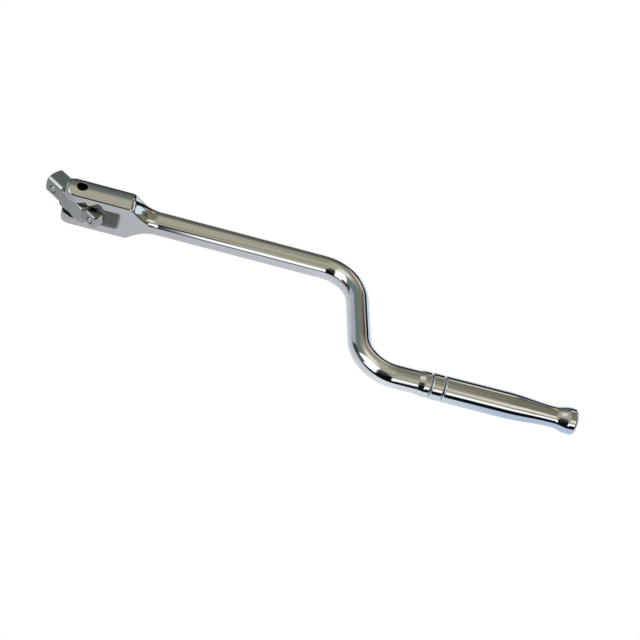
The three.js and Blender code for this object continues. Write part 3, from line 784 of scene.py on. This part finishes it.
def spring_surface(low, high, wire, curls):
    """Points, faces and normals of a coil spring that fills a box in the drive's frame.

    A round wire is carried along a helix, which goes round the box's middle with the angle and moves along Y
    by an equal share of its length. The wire's ends are half-round.
    """
    radius = (high[2] - low[2] - wire) / 2
    start, end = low[1] + wire / 2, high[1] - wire / 2
    cap = np.linspace(0, np.pi / 2, CORNER_STEPS + 1)
    inner = np.linspace(0, 1, CURL_STEPS * curls + 1)[1:-1]
    lean = np.concatenate([-cap[::-1], 0 * inner, cap])[:, None, None]
    share = np.concatenate([0 * cap, inner, 1 + 0 * cap])
    angle = 2 * np.pi * curls * share
    flat = 0 * angle
    out = np.stack([np.cos(angle), flat, np.sin(angle)], axis=-1)
    rise = flat + (end - start) / (2 * np.pi * curls)
    along = unit(np.stack([-radius * np.sin(angle), rise, radius * np.cos(angle)], axis=-1))
    line = (low + high) / 2 + radius * out
    line[:, 1] = start + (end - start) * share
    around = np.linspace(0, 2 * np.pi, WIRE_SIDES, endpoint=False)[None, :, None]
    ring = np.cos(around) * out[:, None] + np.sin(around) * np.cross(along, out)[:, None]
    normals = np.cos(lean) * ring + np.sin(lean) * along[:, None]
    points = line[:, None] + wire / 2 * normals
    index = np.arange(points.shape[0] * WIRE_SIDES).reshape(-1, WIRE_SIDES)
    index[[0, -1]] = index[[0, -1], :1]
    return in_place(points.reshape(-1, 3)), grid_faces(index), normals.reshape(-1, 3) @ drive_turn().T


def grip_profile(sizes):
    """(along, radius) corners of the grip's closed section, and their roundings.

    They go from the bore round the front edge, along the straight stretch and the taper to the neck, up
    the flare, round the end into the mouth, and by way of the rear bore back to where they began.
    """
    start, end = node_start("grip_sleeve"), node_end("grip_sleeve")
    outer = node_height("grip_sleeve") / 2
    neck, flare = sizes.grip_neck_diameter / 2, sizes.grip_flare_diameter / 2
    mouth = node_height("end_plug") / 2 + CLOSE_FIT
    mouth_floor = node_start("rear_thrust_washer") - LOOSE_FIT
    bore, rear_bore = sizes.grip_bore / 2, sizes.rear_bore / 2
    washer_bore = node_height("front_thrust_washer") / 2 + LOOSE_FIT
    washer_floor = node_start("front_bush")
    step = sizes.rear_journal_start + LOOSE_FIT
    middle = (start + step) / 2
    taper = eased(sizes.grip_taper_start, outer, sizes.grip_neck, neck)
    rise = eased(sizes.grip_neck, neck, sizes.grip_flare, flare)[1:]
    front = [
        (middle, bore), (washer_floor, bore), (washer_floor, washer_bore),
        (start, washer_bore), (start, outer),
    ]
    back = [
        (end, flare), (end, mouth), (mouth_floor, mouth), (mouth_floor, rear_bore),
        (step, rear_bore), (step, bore), (middle, bore),
    ]
    corners = np.concatenate([front, taper, rise, back])
    smooth = np.zeros(len(taper) + len(rise))
    edge = sizes.ring_edge
    radii = [[0, 0, 0, edge], smooth, [sizes.grip_edge, edge / 2], np.zeros(4)]
    return corners, np.concatenate(radii)


# Soft cards that the chrome mirrors, later ones in front. Each has a colour of the studio, the azimuth of
# its middle from the front towards +X, the elevation of its middle, half its width and height and the
# width of its soft border, all in degrees.
CARDS = (
    ("slate", 180, 24, 34, 16, 24),
    ("umber", 100, 60, 62, 18, 14),
    ("spruce", 187, 38, 9, 11, 12),
    ("russet", 153, 39, 8, 7, 4),
    ("haze", 149, 28, 7, 4, 3),
    ("cream", 161, 34, 4, 6, 4),
    ("teal", -122, 42, 34, 13, 7),
    ("haze", -122, 14, 18, 14, 6),
    ("cream", -105, 71, 52, 8, 7),
    ("cream", 33, 44, 15, 10, 6),
    ("ceiling", 9, 36, 10, 14, 6),
    ("window", -58, 33, 26, 30, 5),
    ("shade", -84, 12, 22, 9, 6),
    ("shade", 95, 50, 25, 3, 4),
    ("sky", 112, 29, 24, 10, 4),
    ("night", 150, 13, 20, 8, 4),
    ("sky", 136, -2, 18, 6, 3),
    ("shade", -19, 38, 11, 14, 8),
    ("night", -14, 14, 14, 11, 5),
    ("window", 15, 12.5, 14, 12, 3),
    ("night", -8, 13, 9.7, 12, 2),
    ("night", -3, 30, 7, 6, 2.5),
    ("night", 5, -14, 60, 14, 3),
    ("night", 28, -4, 17, 12, 4),
)

# Elevations, in degrees, between which the dark turns to the upper walls, and those to the ceiling.
WALL_RISE = (0.0, 35.0)
CEILING_RISE = (40.0, 70.0)

# Strength of the room's light, and the plain white that the camera sees.
ROOM_LEVEL = 1.3
WHITE = (1.0, 1.0, 1.0, 1.0)


def within(tree, angle, half, border):
    """One where an angle is less than half a card either way, falling to nought across the soft border."""
    away = math_node(tree, "ABSOLUTE", angle)
    return step_between(tree, away, half + border / 2, half - border / 2)


def white_to_camera(tree, path, kind, shader):
    """A shader in whose place the camera sees plain white when it looks straight at it."""
    white = add_node(tree, kind, {"Color": WHITE, "Strength": 1.0})
    return mix_shaders(tree, path.outputs["Is Camera Ray"], shader, white.outputs[0])


def add_room(scene, colours):
    """World light by direction: a tan ceiling over a dim room, and soft cards for windows and dark corners.

    Seen straight on by the camera the room is plain white.
    """
    world = bpy.data.worlds.new("studio_room")
    world.use_nodes = True
    tree = world.node_tree
    tree.nodes.clear()
    place = add_node(tree, "ShaderNodeTexCoord")
    parts = add_node(tree, "ShaderNodeSeparateXYZ", {"Vector": place.outputs["Generated"]})
    front = math_node(tree, "MULTIPLY", parts.outputs["Y"], -1.0)
    azimuth = math_node(tree, "ARCTAN2", parts.outputs["X"], front)
    elevation = math_node(tree, "ARCSINE", parts.outputs["Z"])
    upper = step_between(tree, elevation, *WALL_RISE)
    top = step_between(tree, elevation, *CEILING_RISE)
    room = blend(tree, upper, opaque(colours.night), opaque(colours.umber))
    room = blend(tree, top, room, opaque(colours.ceiling))
    for colour, middle, height, half_width, half_height, border in CARDS:
        aside = math_node(tree, "SUBTRACT", azimuth, math.radians(middle))
        aside = math_node(tree, "WRAP", aside, math.pi, -math.pi)
        above = math_node(tree, "SUBTRACT", elevation, math.radians(height))
        across = within(tree, aside, half_width, border)
        along = within(tree, above, half_height, border)
        share = math_node(tree, "MULTIPLY", across, along)
        room = blend(tree, share, room, opaque(getattr(colours, colour)))
    light = add_node(tree, "ShaderNodeBackground", {"Color": room, "Strength": ROOM_LEVEL})
    path = add_node(tree, "ShaderNodeLightPath")
    seen = white_to_camera(tree, path, "ShaderNodeBackground", light.outputs["Background"])
    add_node(tree, "ShaderNodeOutputWorld", {"Surface": seen})
    scene.world = world


# The table's edges and its height under the brace, in metres.
FLOOR_LEFT, FLOOR_RIGHT = -0.6, 0.6
FLOOR_NEAR, FLOOR_FAR = -0.0886, 0.3
FLOOR_HEIGHT = -0.3 * MM

# Painted light and shade of the table along X, in metres, which mirrors see: dimmer in shade beside the head,
# whitest below the arm, bluer below the grip.
FLOOR_SHADES = (
    (-0.19, "floor_shade"),
    (-0.15, "floor_dim"),
    (0.0, "floor"),
    (0.05, "floor_bright"),
    (0.13, "floor_blue"),
)


def add_floor(colours):
    """A pale table: plain white to the camera, a glow of painted light and shade to mirrors, and matt paper to all
    other light.
    """
    material, tree, output = new_material("pale_table_paper")
    place = add_node(tree, "ShaderNodeTexCoord")
    parts = add_node(tree, "ShaderNodeSeparateXYZ", {"Vector": place.outputs["Object"]})
    ends = {"Value": parts.outputs["X"], "From Min": FLOOR_LEFT, "From Max": FLOOR_RIGHT}
    share = add_node(tree, "ShaderNodeMapRange", ends)
    ramp = add_node(tree, "ShaderNodeValToRGB", {"Fac": share.outputs["Result"]})
    elements = ramp.color_ramp.elements
    while len(elements) < len(FLOOR_SHADES):
        elements.new(1.0)
    for element, (x, colour) in zip(elements, FLOOR_SHADES):
        element.position = (x - FLOOR_LEFT) / (FLOOR_RIGHT - FLOOR_LEFT)
        element.color = opaque(getattr(colours, colour))
    matt = add_node(tree, "ShaderNodeBsdfDiffuse", {"Color": ramp.outputs["Color"]})
    plain = add_node(tree, "ShaderNodeEmission", {"Color": ramp.outputs["Color"], "Strength": 1.0})
    path = add_node(tree, "ShaderNodeLightPath")
    mirror = math_node(tree, "MAXIMUM", path.outputs["Is Glossy Ray"], path.outputs["Is Transmission Ray"])
    seen = mix_shaders(tree, mirror, matt.outputs["BSDF"], plain.outputs["Emission"])
    seen = white_to_camera(tree, path, "ShaderNodeEmission", seen)
    tree.links.new(seen, output.inputs["Surface"])
    corners = [
        (FLOOR_LEFT, FLOOR_NEAR, FLOOR_HEIGHT),
        (FLOOR_RIGHT, FLOOR_NEAR, FLOOR_HEIGHT),
        (FLOOR_RIGHT, FLOOR_FAR, FLOOR_HEIGHT),
        (FLOOR_LEFT, FLOOR_FAR, FLOOR_HEIGHT),
    ]
    mesh = bpy.data.meshes.new("table")
    mesh.from_pydata(corners, [], [(0, 1, 2, 3)])
    mesh.materials.append(material)
    table = bpy.data.objects.new("table", mesh)
    bpy.context.scene.collection.objects.link(table)


# The photograph's view: angles of the camera, the pivot's depth and pixel, and the focal length in pixels.
CAMERA_ELEVATION = math.radians(46.664)
CAMERA_AZIMUTH = math.radians(-10.895)
CAMERA_ROLL = math.radians(22.440)
PIVOT_DEPTH = 0.9158
PIVOT_PIXEL = (79.22, 202.70)
FOCAL_PIXELS = 1452.0
IMAGE_SIZE = 640
SENSOR_WIDTH = 36.0


def add_camera(scene):
    """A camera at the photograph's angle: turned, raised, rolled, and set by the pivot's pixel."""
    turned_to = Matrix.Rotation(CAMERA_AZIMUTH, 4, "Z")
    turned_to = turned_to @ Matrix.Rotation(math.pi / 2 - CAMERA_ELEVATION, 4, "X")
    turned_to = turned_to @ Matrix.Rotation(CAMERA_ROLL, 4, "Z")
    across = (PIVOT_PIXEL[0] - IMAGE_SIZE / 2) / FOCAL_PIXELS * PIVOT_DEPTH
    down = (PIVOT_PIXEL[1] - IMAGE_SIZE / 2) / FOCAL_PIXELS * PIVOT_DEPTH
    back_off = Matrix.Translation((-across, down, PIVOT_DEPTH))
    data = bpy.data.cameras.new("camera")
    data.sensor_width = SENSOR_WIDTH
    data.lens = FOCAL_PIXELS / IMAGE_SIZE * SENSOR_WIDTH
    camera = bpy.data.objects.new("camera", data)
    camera.matrix_world = Matrix.Translation(PIVOT) @ turned_to @ back_off
    scene.collection.objects.link(camera)
    scene.camera = camera


class BRACE_OT_stage(bpy.types.Operator):
    """Set the pale table, the soft studio light and the camera"""

    bl_idname = "brace.stage"
    bl_label = "Studio"

    def execute(self, context):
        colours = context.scene.brace_colours
        context.scene.view_settings.view_transform = "Standard"
        add_room(context.scene, colours)
        add_floor(colours)
        add_camera(context.scene)
        return {"FINISHED"}


class BRACE_OT_bar(bpy.types.Operator):
    """Build the yoke head, the bent bar and its spindle"""

    bl_idname = "brace.bar"
    bl_label = "Yoke and crank bar"

    def execute(self, context):
        *surface, recess = bar_surface(context.scene.brace_sizes)
        material = metal("chrome_on_buffed_steel", context.scene.brace_colours)
        new_piece(
            "yoke_and_crank_bar", *surface, material, "brace", "chrome_plate", "brace_bar", recess=recess
        )
        return {"FINISHED"}


class BRACE_OT_drive(bpy.types.Operator):
    """Build the flip drive with its two squares"""

    bl_idname = "brace.drive"
    bl_label = "Flip drive"

    def execute(self, context):
        *surface, recess = drive_surface(context.scene.brace_sizes)
        material = metal("chrome_on_milled_steel", context.scene.brace_colours)
        new_piece(
            "flip_drive_head", *surface, material, "flip_drive", "chrome_plate", "drive_head", recess=recess
        )
        return {"FINISHED"}


class BRACE_OT_balls(bpy.types.Operator):
    """Build the two detent balls"""

    bl_idname = "brace.balls"
    bl_label = "Detent balls"

    def execute(self, context):
        material = metal("lapped_bearing_steel", context.scene.brace_colours)
        normals = on_circle(np.linspace(np.pi, 0, BALL_SIDES // 2 + 1))
        for node, body in zip(BALLS, ("half_inch_detent", "three_eighth_detent")):
            radius = node_height(node) / 2
            surface = turned(radius * normals, normals, BALL_SIDES, BOXES[node].mean(axis=0), axis="Y")
            new_piece("steel_" + node, *surface, material, body, "bearing_steel", node)
        return {"FINISHED"}


class BRACE_OT_springs(bpy.types.Operator):
    """Wind the springs behind the detent balls"""

    bl_idname = "brace.springs"
    bl_label = "Detent springs"

    def execute(self, context):
        material = metal("tempered_spring_steel", context.scene.brace_colours)
        for name, (wire, curls) in SPRINGS.items():
            node = name + "_spring"
            low, high = drive_box(node)
            surface = spring_surface(low, high, wire, curls)
            piece = new_piece("wound_" + node, *surface, material, "flip_drive", "spring_steel", node)
            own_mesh(piece)
        return {"FINISHED"}


# Rounding of the pin's ends.
PIN_EDGE = 0.6 * MM


class BRACE_OT_pin(bpy.types.Operator):
    """Build the blackened pivot pin"""

    bl_idname = "brace.pin"
    bl_label = "Pivot pin"

    def execute(self, context):
        reach = node_height("pivot_pin") / 2
        radius = context.scene.brace_sizes.pin_diameter / 2
        corners = [(-reach, 0), (-reach, radius), (reach, radius), (reach, 0)]
        profile, normals = rounded_profile(corners, [PIN_EDGE] * 2)
        surface = turned(profile, normals, BALL_SIDES, BOXES["pivot_pin"].mean(axis=0), axis="Z")
        material = metal("black_oxide_on_steel", context.scene.brace_colours)
        new_piece("black_pivot_pin", *surface, material, "brace", "black_steel", "pivot_pin")
        return {"FINISHED"}


class BRACE_OT_rings(bpy.types.Operator):
    """Build the collar and the spacer ring in front of the grip"""

    bl_idname = "brace.rings"
    bl_label = "Collar and spacer"

    def execute(self, context):
        sizes = context.scene.brace_sizes
        material = metal("chrome_on_buffed_steel", context.scene.brace_colours)
        inner = sizes.ring_seat / 2 + CLOSE_FIT
        edge = sizes.ring_edge
        inner_edge = edge / 3
        foot_edge = edge / 10
        for node in ("front_collar", "spacer_ring"):
            start, end, outer = node_start(node), node_end(node), node_height(node) / 2
            middle = (start + end) / 2
            front, roundings = [(start, outer)], [edge]
            if node == "front_collar":
                front = [(start, sizes.shaft_diameter / 2), (start + sizes.collar_cone, outer)]
                roundings = [foot_edge, sizes.collar_crest]
            corners = [
                (middle, inner), (start, inner), *front, (end, outer), (end, inner), (middle, inner),
            ]
            profile, normals = rounded_profile(corners, [inner_edge, *roundings, edge, inner_edge])
            surface = turned(profile, normals, ROUND_SIDES, GRIP_CENTRE)
            new_piece("chromed_" + node, *surface, material, "brace", "chrome_plate", node)
        return {"FINISHED"}


class BRACE_OT_grip(bpy.types.Operator):
    """Build the spinning grip and the plug in its end"""

    bl_idname = "brace.grip"
    bl_label = "Grip and end plug"

    def execute(self, context):
        sizes = context.scene.brace_sizes
        material = metal("chrome_on_buffed_steel", context.scene.brace_colours)
        profile, normals = rounded_profile(*grip_profile(sizes))
        surface = turned(profile, normals, ROUND_SIDES, GRIP_CENTRE)
        new_piece("chromed_grip_sleeve", *surface, material, "grip", "chrome_plate", "grip_sleeve")
        start, end, radius = node_start("end_plug"), node_end("end_plug"), node_height("end_plug") / 2
        angles = np.linspace(0, np.pi / 2, CURVE_STEPS)
        crown = np.stack(
            [end - sizes.plug_crown * (1 - np.sin(angles)), radius * np.cos(angles)], axis=-1
        )
        corners = np.concatenate([[(start, 0), (start, radius)], crown])
        profile, normals = rounded_profile(corners, np.zeros(len(corners) - 2))
        surface = turned(profile, normals, BALL_SIDES, GRIP_CENTRE)
        new_piece("chromed_end_plug", *surface, material, "grip", "chrome_plate", "end_plug")
        return {"FINISHED"}


class BRACE_OT_inner_pieces(bpy.types.Operator):
    """Finish the washers, the bushes and the retaining ring inside"""

    bl_idname = "brace.inner_pieces"
    bl_label = "Inner pieces"

    def execute(self, context):
        colours = context.scene.brace_colours
        finishes = {
            "spring_steel": metal("tempered_spring_steel", colours),
            "bronze": metal("sintered_bronze", colours),
        }
        for part in frame["record"]["subparts"]:
            if part["material_slot"] in finishes:
                mesh = frame["nodes"][part["node"]].data
                mesh.materials.clear()
                mesh.materials.append(finishes[part["material_slot"]])
        return {"FINISHED"}


class BRACE_PT_sidebar(bpy.types.Panel):
    """Lists the brace's pieces in the order they are built"""

    bl_label = "Speed brace"
    bl_idname = "BRACE_PT_sidebar"
    bl_space_type = "VIEW_3D"
    bl_region_type = "UI"
    bl_category = "Brace"

    def draw(self, context):
        for operator in OPERATORS:
            self.layout.operator(operator.bl_idname)
        for group in (context.scene.brace_sizes, context.scene.brace_colours):
            for name in group.__annotations__:
                self.layout.prop(group, name, text=name.replace("_", " ").capitalize())


OPERATORS = (
    BRACE_OT_stage,
    BRACE_OT_bar,
    BRACE_OT_drive,
    BRACE_OT_balls,
    BRACE_OT_springs,
    BRACE_OT_pin,
    BRACE_OT_rings,
    BRACE_OT_grip,
    BRACE_OT_inner_pieces,
)
CLASSES = (BraceSizes, BraceColours, *OPERATORS, BRACE_PT_sidebar)


def register():
    for item in CLASSES:
        bpy.utils.register_class(item)
    bpy.types.Scene.brace_sizes = PointerProperty(type=BraceSizes)
    bpy.types.Scene.brace_colours = PointerProperty(type=BraceColours)


def unregister():
    del bpy.types.Scene.brace_colours
    del bpy.types.Scene.brace_sizes
    for item in reversed(CLASSES):
        bpy.utils.unregister_class(item)


def main():
    register()
    bpy.ops.brace.stage()
    bpy.ops.brace.bar()
    bpy.ops.brace.drive()
    bpy.ops.brace.balls()
    bpy.ops.brace.springs()
    bpy.ops.brace.pin()
    bpy.ops.brace.rings()
    bpy.ops.brace.grip()
    bpy.ops.brace.inner_pieces()


if __name__ == "__main__":
    main()
